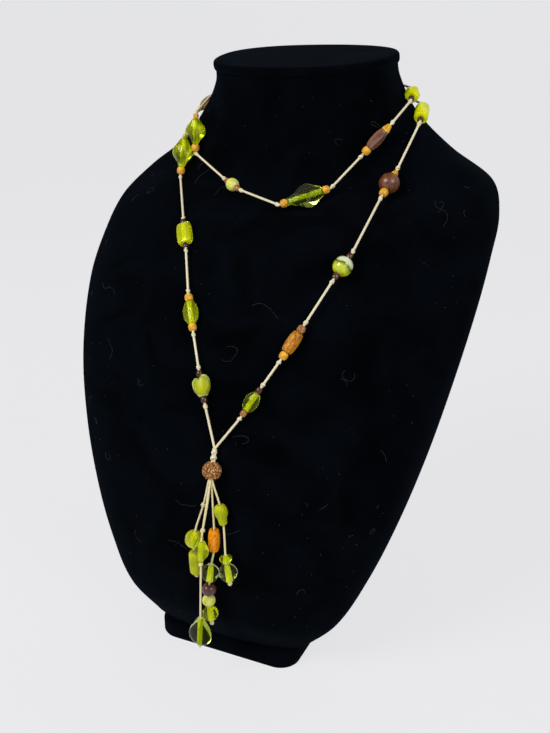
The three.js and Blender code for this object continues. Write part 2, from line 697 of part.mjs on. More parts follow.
// Points of a strand in order; each bead is threaded along the line between its neighbours
function strandSamples(rows) {
  const places = rows.map((row) => hangingPoint(row, row.name ? row.thick / 2 : tasselKnot));
  const start = headEnd.clone().addScaledVector(pendantAlong, -headLength / 2);
  const samples = [{ point: start, radius: tasselRadius }];
  rows.forEach((row, i) => {
    const before = i > 0 ? places[i - 1] : headEnd;
    const after = places[i + 1] ?? places[i].clone().multiplyScalar(2).sub(before);
    const along = after.clone().sub(before).normalize();
    const add = (offset, radius) => {
      samples.push({ point: places[i].clone().addScaledVector(along, offset), radius });
    };
    const addKnot = (middle) => {
      for (const side of [-1, 1]) add(middle + side * tasselKnotShape.half * tasselKnot, tasselKnot);
      add(middle + tasselKnotShape.reach * tasselKnot, tasselRadius);
    };
    if (row.name) {
      const reach = row.long / 2 + touchGap / 2;
      add(-reach, tasselRadius);
      add(reach, tasselRadius);
      if (row.knotted || i === rows.length - 1) addKnot(reach + tasselKnotShape.drop * tasselKnot);
      placeBead(row, places[i], along, frontward);
    } else {
      add(-tasselKnotShape.reach * tasselKnot, tasselRadius);
      addKnot(0);
    }
  });
  return samples;
}

const head = headRows.map((row) => ({
  point: headStart.clone().lerp(headEnd, row.at), radius: headRadius * row.radius,
}));
const strands = tasselStrands.map(strandSamples).map(sweep);
addMesh('tassel_cords', joined([sweep(head), ...strands]), { color: 0xd3bd7e, roughness: 0.8 });

addMesh('bust_body', bustBody(), { color: 0x10141c, roughness: 0.95 });
addMesh('neck_cap', neckCap(), { color: 0x10141c, roughness: 0.95 });
addMesh('plinth', plinth(), { color: 0x0d1118, roughness: 0.95 });

export default group;
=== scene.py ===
# Beaded necklace on a velvet neck bust: the looks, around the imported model.
#
# Tables are in millimetres and degrees, +Z up, -Y the front. Meshes are made in metres.

import json
import math
import random

import bpy
import numpy as np
from mathutils import Euler, Matrix, Vector


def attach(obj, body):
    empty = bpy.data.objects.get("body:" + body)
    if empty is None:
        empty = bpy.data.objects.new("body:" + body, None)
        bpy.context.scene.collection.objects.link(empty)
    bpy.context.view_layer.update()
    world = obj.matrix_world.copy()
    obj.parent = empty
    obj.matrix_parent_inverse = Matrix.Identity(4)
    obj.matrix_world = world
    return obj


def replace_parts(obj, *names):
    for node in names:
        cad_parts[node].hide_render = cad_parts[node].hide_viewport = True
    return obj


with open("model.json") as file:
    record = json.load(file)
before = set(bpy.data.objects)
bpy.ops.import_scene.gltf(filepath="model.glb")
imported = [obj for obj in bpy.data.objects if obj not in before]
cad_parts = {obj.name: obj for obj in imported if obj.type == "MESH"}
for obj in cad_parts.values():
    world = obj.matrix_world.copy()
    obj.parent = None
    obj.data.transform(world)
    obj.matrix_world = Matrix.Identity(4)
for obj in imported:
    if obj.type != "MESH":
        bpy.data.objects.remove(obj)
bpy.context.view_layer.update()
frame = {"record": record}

MM = 0.001

# Camera, in the part's frame
CAMERA_PLACE = (186.604, -402.294, 300.117)
CAMERA_AZIMUTH = 24.661
CAMERA_ELEVATION = 19.901
CAMERA_LENS = 42.51

# Stand
PLINTH = {"left": 38.5, "right": 42, "front": 67.3, "back": 64.5, "height": 10, "corner": 11}
BODY_HEIGHT = 290
SHOULDER_HALF = 109
CHEST_DEPTH = 50
BACK_DEPTH = 40
LEAN_START = -53.5
LEAN_REACH = 109.5
NECK_TILT = 9.1
TILT_FROM = 0.85
SECTION_POWER = 2.3
CAP_THICKNESS = 5.5
CAP_EDGE = 1.6
SEAM_GAP = 0.3

# Route of the string: sizes of the solids that it follows, and the steps in which it is laid
CORD_RADIUS = 0.6
BORE_GAP = 0.4
SEAT_GAP = 0.4
TOUCH_GAP = 0.3
FREE_STEP = 7
PLUMB_STEP = 2
CROSSING_LIFT = 1.8
TASSEL_RADIUS = 0.5
TASSEL_KNOT = 1.15
WRAP_RADIUS = 1.5
HEAD_RADIUS = 1.7
HEAD_LENGTH = 3.0
SPACER_FACE = 0.42
SPACER_MOUTH = 0.3
COARSE_SIDES = 12
RELAX_ROUNDS = 60
SETTLE_ROUNDS = 4
# Steps on the bust that give its two directions: a height share and a turn
NUDGE_SHARE = 0.004
NUDGE_TURN = 1

# Drawn string: its step and the pitch of its twist
CORD_STEP = 0.4
CORD_PLIES = 3
CORD_PITCH = 2.6
TASSEL_PITCH = 2.8
KNOT_PITCH = 3.0
TAPER_START = 0.35

# Drawn knots: radius, length and the radius of the cord that they are wound from
LOOP_KNOT = (1.118, 2.2, 0.5)
STRAND_KNOT = (1.265, 2.4, 0.45)
END_KNOT = (1.265, 2.3, 0.45)
KNOT_STEPS = 16
KNOT_LEAN = 0.22
KNOT_CLOSED = 0.12
KNOT_ENDS = 1.6
KNOT_DROP = 1.38
TAIL_DROP = 2.53
# The knot that closes the string, in two wraps round a pair of cords: place down it, radius and
# length as shares, radius of the cord, turns and phase
CLOSING_WRAPS = ((0.28, 0.95, 0.50, 0.55, 2.6, 0.0), (0.74, 1.10, 0.42, 0.62, 2.2, 2.0))
PAIR_OFFSET = 0.55
PAIR_POINTS = 24
# Strands where they leave the tassel's head: their offsets, and how much nearer they are inside it
STRAND_OFFSETS = (-0.95, -0.15, 0.45, 1.0)
HEAD_DRAW = 0.8
STRAND_FRONT = -0.2
# Second cord of a strand that is doubled down to its first knot: shifts of its first points
DOUBLED_SHIFTS = ((0.3, -0.5, 0), (0.5, -0.9, 0), (0.7, -0.8, 0))

# Sections of the bust: shares of its height, half width, lean and depths
BUST = {
    "height": (0, .06, .14, .24, .36, .48, .60, .68, .74, .79, .84, .90, .96, 1),
    "half": (.415, .565, .675, .775, .868, .938, .988, 1, .990, .913, .714, .545, .451, .442),
    "lean": (0, .016, .073, .142, .228, .332, .491, .658, .822, .990, .982, .920, .908, .886),
    "front": (.24, .48, .69, .86, .97, 1, .96, .915, .868, .818, .772, .772, .806, .806),
    "back": (1, .85, .75, .70, .675, .70, .75, .79, .74, .58, .68, .82, .815, .740),
}

# Bead forms: power of the section, twist from middle to end, rows of (place, width, thickness) and,
# where two humps rise beside the cord, their height
FORMS = {
    "round": (2, 0, (
        (-1, .34, .34), (-.84, .62, .62), (-.48, .90, .90), (0, 1, 1), (.48, .90, .90), (.84, .62, .62),
        (1, .34, .34))),
    "tube": (2, 0, (
        (-1, .66, .66), (-.86, .94, .94), (-.4, 1, 1), (.4, 1, 1), (.86, .94, .94), (1, .66, .66))),
    "cask": (2, 0, (
        (-1, .68, .68), (-.88, .86, .86), (-.36, 1, 1), (.36, 1, 1), (.88, .86, .86), (1, .68, .68))),
    "barrel": (2, 0, (
        (-1, .66, .66), (-.7, .88, .88), (-.26, 1, 1), (.26, 1, 1), (.7, .88, .88), (1, .66, .66))),
    "lozenge": (1.35, 40, (
        (-1, .30, .46), (-.7, .56, .74), (-.3, .90, .96), (0, 1, 1), (.3, .90, .96), (.7, .56, .74),
        (1, .30, .46))),
    "oval": (2.2, 0, (
        (-1, .36, .60), (-.82, .66, .78), (-.42, .92, .96), (0, 1, 1), (.42, .92, .96), (.82, .66, .78),
        (1, .36, .60))),
    "pillow": (3.8, 0, (
        (-1, .74, .62), (-.8, .95, .84), (-.3, 1, 1), (.3, 1, 1), (.8, .95, .84), (1, .74, .62))),
    "cube": (3.0, 34, (
        (-1, .60, .60), (-.74, .88, .88), (0, 1, 1), (.74, .88, .88), (1, .60, .60))),
    "heart": (2.1, 0, (
        (-1, .36, .60, 0), (-.7, .64, .84, 0), (-.2, .92, 1, 0), (.25, 1, 1, .10), (.6, .97, .92, .22),
        (.78, .74, .70, .36), (.84, .50, .48, .30))),
    "drop": (2, 12, (
        (-1, .24, .36), (-.7, .46, .60), (-.2, .82, .90), (.2, .98, 1), (.56, .98, .94), (.86, .70, .68),
        (1, .34, .40))),
    "pear": (2, 0, (
        (-1, .42, .42), (-.78, .84, .84), (-.38, 1, 1), (.02, .94, .94), (.34, .72, .72), (.66, .64, .64),
        (.9, .58, .58), (1, .42, .42))),
}


def bead(name, form, look, size, **more):
    """One row of the bead tables; size is length along the cord, width and thickness."""
    return {"name": name, "form": form, "look": look, "long": size[0], "wide": size[1], "thick": size[2],
            "roll": 0, "via": (), **more}


# Beads on the closed string, from the knot up the left side: share and turn on the bust, heading of
# the cord, roll about it, spacers (diameter, kind) at each end, and via, the way behind the neck to
# the next bead: share, turn, and 1 where it crosses over the other turn
LOOP_BEADS = [
    bead("bead_heart", "heart", "heart", (9.4, 9.2, 5.5), share=.484, turn=268.5, heading=-22,
         spacers=((3.4, "dark"), (3.4, "dark"))),
    bead("bead_oval_left", "oval", "green", (11.8, 8, 4.8), share=.5871, turn=262.1, heading=-25,
         spacers=((4.4, "orange"), (4.4, "orange"))),
    bead("bead_pillow", "pillow", "pale_lime", (13, 7.8, 5.2), share=.694, turn=252.7, heading=-31,
         spacers=((3.4, "dark"), (3.4, "dark"))),
    bead("bead_lozenge_outer", "lozenge", "striped_green", (15.3, 12, 7), share=.8169, turn=229.5,
         heading=-6, roll=36, spacers=((4.6, "orange"), (3.0, "green"))),
    bead("bead_barrel_back", "barrel", "pale_wood", (12, 6.5, 6.5), share=.902, turn=177, heading=-62,
         spacers=((3.0, "orange"), (3.0, "orange")),
         via=((.908, 150, 0), (.911, 120, 0), (.914, 90, 0), (.917, 60, 0), (.92, 30, 0))),
    bead("bead_pebble", "cube", "lime", (7.2, 7.2, 6.8), share=.9255, turn=1, heading=-109,
         spacers=((3.4, "dark"), (3.4, "dark"))),
    bead("bead_barrel", "barrel", "plum_wood", (10.8, 5.9, 5.9), share=.8656, turn=310.6, heading=-138,
         spacers=((4.4, "cone"), (4.6, "orange"))),
    bead("bead_lozenge_front", "lozenge", "two_tone", (18, 14, 8), share=.7563, turn=277.9,
         heading=-124, roll=-18, spacers=((4.4, "orange"), (4.4, "orange"))),
    bead("bead_green_round", "round", "cream", (6.6, 6.8, 6.8), share=.7667, turn=259.3, heading=-60,
         spacers=((3.4, "seed"), (3.4, "seed"))),
    bead("bead_lozenge_inner", "lozenge", "striped_green", (13.2, 11.5, 7), share=.8646, turn=224,
         heading=5, roll=40, spacers=((4.6, "orange"), (3.2, "orange")),
         via=((.93, 196, 0), (.934, 170, 0), (.926, 140, 0), (.92, 115, 1), (.914, 90, 1), (.905, 60, 1),
              (.898, 30, 0))),
    bead("bead_ridged", "tube", "lime", (12.5, 7.4, 7.4), share=.894, turn=355.9, heading=-114,
         spacers=((3.4, "dark"), (3.6, "dark"))),
    bead("bead_red_round", "round", "red_wood", (9.6, 10.2, 10.2), share=.7784, turn=300.8, heading=-162,
         spacers=((4.2, "cone"), (4.6, "orange"))),
    bead("bead_swirl", "round", "swirl", (9, 9.4, 9.4), share=.6669, turn=294.2, heading=-156,
         spacers=((3.4, "red"), (3.4, "red"))),
    bead("bead_wood_tube", "cask", "tube_wood", (10.6, 6, 6), share=.5633, turn=286.7, heading=-154,
         spacers=((4.2, "brown"), (4.4, "orange"))),
    bead("bead_oval_right", "oval", "dark_green", (9.8, 7.2, 4.6), share=.4734, turn=279.7, heading=-152,
         spacers=((3.4, "dark"), (3.4, "brown"))),
]
# Kinds of spacer: half the length as a share of the diameter, look, slot
SPACERS = {
    "orange": (0.43, "orange_wood", "orange_wood"),
    "cone": (0.42, "orange_wood", "orange_wood"),
    "green": (0.40, "hazy_green", "olive_glass"),
    "brown": (0.44, "brown_wood", "orange_wood"),
    "seed": (0.44, "brown_wood", "orange_wood"),
    "dark": (0.46, "dark_glaze", "dark_wood"),
    "red": (0.46, "red_glaze", "dark_wood"),
}
# Drawn width of a spacer, as a share of its diameter, its gap to its bead, and the play in its bore
FINE_WIDTH = 0.94
FINE_TOUCH = 0.08
FINE_PLAY = 0.15
SPACER_SIDES = 24
# Outer line of a round spacer: radius at its ends, as a share of its own, and power of the line
SPACER_END = 0.45
SPACER_POWER = 0.8
SPACER_ROWS = 17
# Outer line of a cone-shaped spacer: share of its half length and of its radius
CONE_ROWS = ((-1, .44), (-.94, .56), (-.5, .72), (0, .86), (.5, .98), (.78, 1.03), (.94, .98), (1, .84))

KNOT_PLACE = (5.8, 124.4)
PENDANT = bead("bead_pendant", "round", "sandy_wood", (8.2, 9.2, 9.2), x=6.8, z=115.3, bore=HEAD_RADIUS)

# Strands of the tassel, from the top down. Rows without a name are knots.
TASSEL = [
    [{"x": 1.3, "z": 95.8},
     bead("bead_drop_round", "round", "hazy_green", (8.6, 9, 9), x=-1.8, z=78.6),
     bead("bead_drop_tube", "tube", "satin_green", (12.4, 6.6, 6.6), x=-1.9, z=65.0, knotted=True)],
    [{"x": 3.5, "z": 85.0, "over": 4.4},
     bead("bead_drop_diamond", "lozenge", "clear_green", (11, 8.4, 5), x=4.7, z=76.2, over=6.8,
          knotted=True),
     bead("bead_drop_large", "drop", "two_tone_drop", (15, 12.4, 8), x=2.2, z=29.6, over=4.4)],
    [bead("bead_drop_orange", "cask", "bright_wood", (11.5, 5.7, 5.7), x=8.2, z=79.6),
     bead("bead_drop_clear", "round", "clear", (8.6, 9, 9), x=6.7, z=61.9),
     bead("bead_drop_purple", "round", "purple", (6.4, 7.2, 7.2), x=5.2, z=51.6),
     bead("bead_drop_milky", "round", "milky", (5.6, 6.6, 6.6), x=4.7, z=44.9),
     bead("bead_drop_ribbed", "round", "clear_green", (7.2, 7.8, 7.8), x=5.8, z=37.9, knotted=True,
          ridges=9, slant=1.6)],
    [bead("bead_drop_pear", "pear", "satin_green", (10.3, 6.4, 6.4), x=12.2, z=94.0),
     bead("bead_drop_disc", "round", "clear_green", (4.0, 6.3, 6.3), x=15.3, z=71.8, over=1.4),
     bead("bead_drop_ball", "round", "clear", (8.8, 9.2, 9.2), x=16.4, z=64.5, knotted=True)],
]


# The bust's form

def curve_at(places, values, at):
    """Smooth curve through values at rising places, read at one place."""
    last = len(places) - 1
    i = 0
    while i < last - 1 and places[i + 1] < at:
        i += 1
    before, after = max(i - 1, 0), min(i + 2, last)
    span = places[i + 1] - places[i]
    slope_a = (values[i + 1] - values[before]) / (places[i + 1] - places[before])
    slope_b = (values[after] - values[i]) / (places[after] - places[i])
    t = (at - places[i]) / span
    return (values[i] * ((1 + 2 * t) * (1 - t) ** 2) + slope_a * (span * t * (1 - t) ** 2)
            + values[i + 1] * ((3 - 2 * t) * t ** 2) + slope_b * (span * (t - 1) * t ** 2))


def column(share, key):
    return curve_at(BUST["height"], BUST[key], share)


def bust_section(share):
    """Half width, centre line, front and back depth and neck slope at a height share."""
    tilt = min(max((share - TILT_FROM) / (1 - TILT_FROM), 0), 1)
    return (SHOULDER_HALF * column(share, "half"), LEAN_START + LEAN_REACH * column(share, "lean"),
            CHEST_DEPTH * column(share, "front"), BACK_DEPTH * column(share, "back"),
            math.tan(math.radians(NECK_TILT)) * tilt)


def super_cos(angle, power):
    return math.copysign(abs(math.cos(angle)) ** (2 / power), math.cos(angle))


def super_sin(angle, power):
    return math.copysign(abs(math.sin(angle)) ** (2 / power), math.sin(angle))


def bust_point(share, turn, outset=0.0, section=None):
    """Point of the bust at a height share and a turn round it; 270 is the front, 0 the +X side."""
    half, centre, front, back, slope = section or bust_section(share)
    side = super_sin(math.radians(turn), SECTION_POWER)
    x = (half + outset) * super_cos(math.radians(turn), SECTION_POWER)
    dy = side * ((front if side < 0 else back) + outset)
    return Vector((x, centre + dy, PLINTH["height"] + share * BODY_HEIGHT + slope * dy))


def level(point):
    """Below 0 inside the bust, above 0 outside."""
    share = (point.z - PLINTH["height"]) / BODY_HEIGHT
    for _ in range(SETTLE_ROUNDS):
        half, centre, front, back, slope = bust_section(min(max(share, 0), 1))
        share = (point.z - slope * (point.y - centre) - PLINTH["height"]) / BODY_HEIGHT
    half, centre, front, back, slope = bust_section(min(max(share, 0), 1))
    dy = point.y - centre
    deep = abs(dy) / (front if dy < 0 else back)
    return ((abs(point.x) / half) ** SECTION_POWER + deep ** SECTION_POWER) ** (1 / SECTION_POWER) - 1


def clearance(point):
    """Distance from the bust's surface, and the way out of it."""
    probe = 0.4
    here = level(point)
    normal = Vector([(level(point + probe * axis) - here) / probe
                     for axis in (Vector((1, 0, 0)), Vector((0, 1, 0)), Vector((0, 0, 1)))])
    return here / normal.length, normal.normalized()


# Meshes

def ring_faces(count, columns, looped):
    """Quads between rings of points, with end caps unless the rings are looped."""
    faces = []
    for i in range(count if looped else count - 1):
        low, high = i * columns, (i + 1) % count * columns
        for j in range(columns):
            k = (j + 1) % columns
            faces.append((low + j, low + k, high + k, high + j))
    if not looped:
        faces.append(tuple(reversed(range(columns))))
        faces.append(tuple(range((count - 1) * columns, count * columns)))
    return faces


class Shape:
    """Points and faces gathered for one mesh."""

    def __init__(self):
        self.points = []
        self.places = []
        self.faces = []

    def add_rings(self, rings, looped=False, turn=None):
        """Rings of points. turn takes them from their own axes, which the materials follow."""
        start = len(self.points)
        for ring in rings:
            self.places.extend(tuple(p) for p in ring)
            self.points.extend(tuple(turn @ p) if turn else tuple(p) for p in ring)
        for face in ring_faces(len(rings), len(rings[0]), looped):
            self.faces.append(tuple(start + i for i in face))

    def make(self, name, material, slot, crease=None):
        """The mesh object, riding on the part. crease keeps edges sharper than that angle."""
        mesh = bpy.data.meshes.new(name)
        mesh.from_pydata([(x * MM, y * MM, z * MM) for x, y, z in self.points], [], self.faces)
        mesh.polygons.foreach_set("use_smooth", [True] * len(mesh.polygons))
        if crease:
            mesh.set_sharp_from_angle(angle=math.radians(crease))
        mesh.materials.append(material)
        places = mesh.attributes.new("place", "FLOAT_VECTOR", "POINT")
        places.data.foreach_set("vector", [value for place in self.places for value in place])
        mesh.update()
        piece = bpy.data.objects.new(name, mesh)
        bpy.context.scene.collection.objects.link(piece)
        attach(piece, "root")
        return piece


# Places of the beads

def cord_bore(row):
    return row.get("bore", CORD_RADIUS) + BORE_GAP


def form_ring(row, at, wide, thick, lobe, sides, detail=False):
    """One ring of a bead about its own middle: z along the cord, y through its thickness."""
    power, twist, _ = FORMS[row["form"]]
    least = cord_bore(row) + BORE_GAP
    half = row["long"] / 2
    turn = math.radians(twist) * at
    ring = []
    for j in range(sides):
        angle = 2 * math.pi * j / sides
        swell = 1.0
        if detail and row.get("ridges"):
            swell += RIDGE_DEPTH * math.cos(row["ridges"] * (angle + row.get("slant", 0) * at))
        if detail and row["form"] == "barrel":
            swell = min(reach / max(math.cos(angle - math.radians(way)), FACET_LIMIT)
                        for way, reach in BARREL_FACETS)
        x = max(wide * row["wide"] / 2, least) * super_cos(angle, power) * swell
        y = max(thick * row["thick"] / 2, least) * super_sin(angle, power) * swell
        hump = lobe * half * math.sin(math.pi * min(1, abs(2 * x / row["wide"])))
        if detail and x > 0:
            hump *= HEART_LOW_LOBE
        ring.append(Vector((x * math.cos(turn) - y * math.sin(turn),
                            x * math.sin(turn) + y * math.cos(turn), at * half + hump)))
    return ring


def bead_axes(along, outward):
    """Rotation that takes z to the cord's way, y out of the surface and x across."""
    z = along.normalized()
    y = (outward - z * outward.dot(z)).normalized()
    return Matrix((y.cross(z), y, z)).transposed()


def placed(centre, along, outward):
    """Takes a piece from its own axes to its place on the cord."""
    return Matrix.Translation(centre) @ bead_axes(along, outward).to_4x4()


def spacer_rows(size):
    middle = TOUCH_GAP + size / 2
    face = SPACER_FACE * size
    mouth = SPACER_MOUTH * size
    return ((TOUCH_GAP / 2, CORD_RADIUS), (middle - face, mouth), (middle, size / 2),
            (middle + face, mouth), (TOUCH_GAP + size, CORD_RADIUS))


def seat_bead(row):
    """A bead and its spacers lie straight on the bust, lifted until nothing of them sinks in."""
    base = bust_point(row["share"], row["turn"])
    up = (bust_point(row["share"] + NUDGE_SHARE, row["turn"]) - base).normalized()
    round_way = (bust_point(row["share"], row["turn"] + NUDGE_TURN) - base).normalized()
    outward = round_way.cross(up).normalized()
    heading = math.radians(row["heading"])
    along = outward.cross(round_way) * math.cos(heading) + round_way * math.sin(heading)
    facing = outward.copy()
    facing.rotate(Matrix.Rotation(math.radians(row["roll"]), 3, along))
    axes = bead_axes(along, facing)
    corners = []
    for at, wide, thick, *lobe in FORMS[row["form"]][2]:
        ring = form_ring(row, at, wide, thick, lobe[0] if lobe else 0, COARSE_SIDES)
        corners += [(axes @ p, 0) for p in ring]
    ends = []
    for side, (size, _) in zip((-1, 1), row["spacers"]):
        for at, radius in spacer_rows(size):
            corners.append((along * side * (row["long"] / 2 + at), radius))
        ends.append(side * (row["long"] / 2 + TOUCH_GAP + size))
    lift = row["thick"] / 2
    for _ in range(SETTLE_ROUNDS):
        centre = base + outward * lift
        lift += SEAT_GAP - min(clearance(p + centre)[0] - radius for p, radius in corners)
    centre = base + outward * lift
    return {"row": row, "centre": centre, "along": along, "facing": facing,
            "start": centre + along * ends[0], "end": centre + along * ends[1]}


def taut_stretch(start, via, end):
    """A stretch of bare cord pulled tight over the bust between two points."""
    stand = CORD_RADIUS + SEAT_GAP
    stops = [(start, 0)]
    stops += [(bust_point(share, turn, stand), lift * CROSSING_LIFT) for share, turn, lift in via]
    stops.append((end, 0))
    path, stands = [], []
    for (a, lift_a), (b, lift_b) in zip(stops, stops[1:]):
        count = max(1, math.floor((b - a).length / FREE_STEP + 0.5))
        for k in range(count):
            t = k / count
            path.append(a.lerp(b, t))
            stands.append(stand + lift_a + (lift_b - lift_a) * t)
    path.append(end.copy())
    for _ in range(RELAX_ROUNDS):
        for i in range(1, len(path) - 1):
            here = (path[i - 1] + path[i + 1]) / 2
            gap, normal = clearance(here)
            path[i] = here + normal * max(stands[i] - gap, 0)
    return path


def plumb_front(x, z):
    """Foremost y of the chest between a hanging thing and the knot."""
    front = math.inf
    height = z
    while height <= KNOT_PLACE[1]:
        half, centre, depth, _, _ = bust_section((height - PLINTH["height"]) / BODY_HEIGHT)
        front = min(front, centre - depth * (1 - (abs(x) / half) ** SECTION_POWER) ** (1 / SECTION_POWER))
        height += PLUMB_STEP
    return front


def hanging_point(row, stand):
    y = plumb_front(row["x"], row["z"]) - stand - SEAT_GAP - row.get("over", 0)
    return Vector((row["x"], y, row["z"]))


# Sweeps along the string

def smooth_path(points, step):
    """The same line in steps of equal length, rounded through its points."""
    knots = [0.0]
    for a, b in zip(points, points[1:]):
        knots.append(knots[-1] + (b - a).length)
    count = max(1, round(knots[-1] / step))
    return [curve_at(knots, points, knots[-1] * k / count) for k in range(count + 1)]


def cord_sweep(shape, line, radius, pitch=CORD_PITCH, depth=0.06, sides=12, taper=0):
    """A twisted cord along a line of close points; taper draws in that many rings at each end."""
    side = Vector((0.3, 0.2, 1))
    arc = 0.0
    rings = []
    for i, point in enumerate(line):
        along = (line[min(i + 1, len(line) - 1)] - line[max(i - 1, 0)]).normalized()
        side = (side - along * side.dot(along)).normalized()
        other = along.cross(side)
        arc += (point - line[max(i - 1, 0)]).length
        draw = min(1, TAPER_START + min(i, len(line) - 1 - i) / taper) if taper else 1
        ring = []
        for j in range(sides):
            angle = 2 * math.pi * j / sides
            lobe = abs(math.cos(CORD_PLIES / 2 * (angle - 2 * math.pi * arc / pitch / CORD_PLIES)))
            reach = radius * draw * (1 - depth * (1 - lobe))
            ring.append(point + side * reach * math.cos(angle) + other * reach * math.sin(angle))
        rings.append(ring)
    shape.add_rings(rings)


def tie_knot(shape, centre, along, size, phase, turns=2.2):
    """A tight knot: the cord wound round itself, leaning, thickest in the middle.

    size is its radius, its length and the radius of the cord.
    """
    radius, length, wire = size
    along = along.normalized()
    side = along.orthogonal().normalized()
    other = along.cross(side)
    steps = int(turns * KNOT_STEPS)
    line = []
    for i in range(steps + 1):
        t = i / steps
        angle = phase + 2 * math.pi * turns * t
        out = (radius - wire) * math.sin(math.pi * (KNOT_CLOSED + (1 - 2 * KNOT_CLOSED) * t)) ** 0.5
        lean = KNOT_LEAN * length * math.sin(angle)
        place = (t - 0.5) * (length - KNOT_ENDS * wire) + lean * math.sin(math.pi * t)
        line.append(centre + along * place + (side * math.cos(angle) + other * math.sin(angle)) * out)
    cord_sweep(shape, line, wire, pitch=KNOT_PITCH, sides=8, taper=3)


# Fine beads

FINE_SIDES = 48
FINE_ROWS = 36
RIDGE_DEPTH = 0.045
HEART_LOW_LOBE = 0.4
# Mouth of a bead's bore, from inside: how far past the bore's radius, and how deep
BORE_MOUTH = ((0, 0.25), (0.12, 0.04))
FACETED_CREASE = 24
BEAD_CREASE = 40
# Rod in clear glass: radius, bore, distance from the bead's ends
CORE_RADIUS = 1.12
CORE_BORE = 0.72
CORE_INSET = 0.5
CORE_SIDES = 24
CORE_CREASE = 60
# Cut faces of a barrel: the least facing at which one counts, then the way each looks and its
# distance, as a share of the radius
FACET_LIMIT = 0.3
BARREL_FACETS = (
    (12, .95), (57, .92), (96, .96), (148, .93), (196, .95), (240, .96), (284, .92), (330, .95),
)
# Clear glass, in which the wall of the cord's hole shows
CORE_LOOKS = ("pale_lime", "green", "striped_green", "dark_green", "clear_green", "clear",
              "two_tone", "two_tone_drop")
# Line of a round bead, and the radius of its ends
ROUND_POWER = 2.2
ROUND_END = 0.34


def circle(radius, z, sides):
    """Points round the z axis."""
    angles = [2 * math.pi * j / sides for j in range(sides)]
    return [Vector((radius * math.cos(angle), radius * math.sin(angle), z)) for angle in angles]


def bead_profile(form):
    """Rows of a form in even steps of the angle from end to end, so that its ends come out round."""
    rows = FORMS[form][2]
    low, high = rows[0][0], rows[-1][0]
    table = [[*row, 0][:4] for row in rows]
    places = [math.asin(max(-1, min(1, 2 * (row[0] - low) / (high - low) - 1))) for row in table]
    fine = []
    for i in range(FINE_ROWS + 1):
        s = -math.pi / 2 + math.pi * i / FINE_ROWS
        if form == "round":
            part = 1 - abs(math.sin(s)) ** ROUND_POWER * (1 - ROUND_END ** ROUND_POWER)
            fine.append((math.sin(s), part ** (1 / ROUND_POWER), part ** (1 / ROUND_POWER), 0))
            continue
        values = [curve_at(places, [row[c] for row in table], s) for c in (1, 2, 3)]
        fine.append((low + (high - low) * (math.sin(s) + 1) / 2, *values))
    return fine


def fine_bead(row, centre, along, outward):
    """The bead as one closed surface with the cord's bore through it."""
    rings = [form_ring(row, at, wide, thick, lobe, FINE_SIDES, detail=True)
             for at, wide, thick, lobe in bead_profile(row["form"])]
    bore = cord_bore(row)
    ends = [(ring, min(p.z for p in ring)) for ring in (rings[-1], rings[0])]
    inner = []
    for (ring, z), way in zip(ends, (-1, 1)):
        radius = min(math.hypot(p.x, p.y) for p in ring)
        steps = [(bore + past, deep) for past, deep in BORE_MOUTH] + [(0.5 * (radius + bore), 0)]
        if way == -1:
            steps.reverse()
        inner += [circle(reach, z + way * deep, FINE_SIDES) for reach, deep in steps]
    shape = Shape()
    shape.add_rings(rings + inner, looped=True, turn=placed(centre, along, outward))
    return shape


def spacer_profile(half, top, kind):
    """Outer line of a spacer, as (place along the cord, radius)."""
    if kind == "cone":
        return [(at * half, share * top) for at, share in CONE_ROWS]
    angles = np.linspace(-math.pi / 2, math.pi / 2, SPACER_ROWS)
    return [(half * math.sin(s),
             top * (SPACER_END + (1 - SPACER_END) * abs(math.cos(s)) ** SPACER_POWER)) for s in angles]


def add_spacer(shape, bead_end, along, size, kind):
    """A spacer right against the end of its bead; along points at the bead."""
    half = size * SPACERS[kind][0]
    turn = placed(bead_end - along * (half + FINE_TOUCH), along, along.orthogonal())
    outline = spacer_profile(half, FINE_WIDTH * size / 2, kind)
    bore = CORD_RADIUS + FINE_PLAY
    profile = outline + [(outline[-1][0], bore), (outline[0][0], bore)]
    shape.add_rings([circle(radius, place, SPACER_SIDES) for place, radius in profile], looped=True,
                    turn=turn)


# Materials

# Distances that light goes inside hazy glass, in shares of the scatter scale
GLASS_SCATTER = (0.8, 0.9, 0.3)


def new_material(name, **values):
    """A material with its shader's sockets set to plain values."""
    material = bpy.data.materials.new(name)
    material.use_nodes = True
    shader = material.node_tree.nodes["Principled BSDF"]
    for key, value in values.items():
        shader.inputs[key.replace("_", " ")].default_value = value
    return material, shader


def add_node(material, kind, **settings):
    node = material.node_tree.nodes.new(kind)
    for key, value in settings.items():
        if key in node.inputs:
            node.inputs[key].default_value = value
        else:
            setattr(node, key, value)
    return node


def link(material, source, target):
    material.node_tree.links.new(source, target)


def place_coordinates(material, scale, shift=(0, 0, 0)):
    """Coordinates along each piece, from its own axes, scaled by the three factors, then moved."""
    place = add_node(material, "ShaderNodeAttribute", attribute_name="place")
    mapping = add_node(material, "ShaderNodeMapping", Scale=scale, Location=shift)
    link(material, place.outputs["Vector"], mapping.inputs["Vector"])
    return mapping.outputs["Vector"]


def noise(material, scale, size=(1, 1, 1), detail=3.0, distortion=0.0):
    node = add_node(material, "ShaderNodeTexNoise", Scale=scale, Detail=detail, Distortion=distortion)
    link(material, place_coordinates(material, size), node.inputs["Vector"])
    return node.outputs["Fac"]


def ramp(material, source, stops):
    """Colours along a value: stops are (place, colour)."""
    node = add_node(material, "ShaderNodeValToRGB")
    elements = node.color_ramp.elements
    while len(elements) < len(stops):
        elements.new(0.5)
    for element, (place, colour) in zip(elements, stops):
        element.position = place
        element.color = (*colour, 1)
    link(material, source, node.inputs["Fac"])
    return node.outputs["Color"]


def colour_along(material, shader, source, stops):
    """Base colour from a ramp along a value."""
    link(material, ramp(material, source, stops), shader.inputs["Base Color"])


